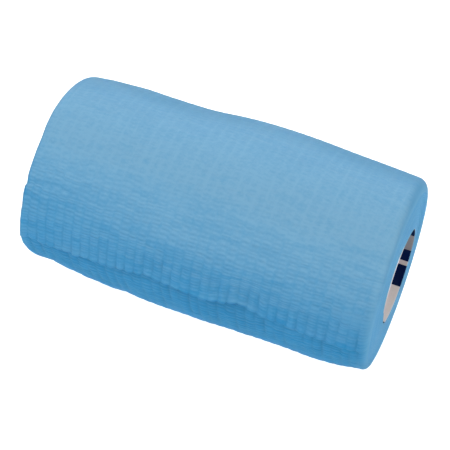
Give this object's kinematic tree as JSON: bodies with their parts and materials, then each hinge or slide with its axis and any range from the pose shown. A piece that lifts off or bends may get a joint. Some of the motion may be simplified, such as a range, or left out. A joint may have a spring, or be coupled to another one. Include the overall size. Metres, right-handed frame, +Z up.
{
  "type": "cohesive bandage roll",
  "caption": "Light blue cohesive bandage, a crinkled elastic strip wound on an open card tube, lying on its side with its wavy cut end stuck down across the front.",
  "frame": {"origin": "on the surface that the roll lies on, under the middle of its outline seen from above", "axes": "+X along the roll's axis, towards the end shown nearer in the picture; +Z up; the tail's cut edge faces -Y"},
  "size_m": [0.1012, 0.0582, 0.0572],
  "materials": {
    "bandage_fabric": "matt crinkled non-woven with elastic yarns",
    "core_card": "matt off-white card"
  },
  "bodies": {
    "root": {"bandage": "bandage_fabric", "core": "core_card"}
  },
  "joints": []
}
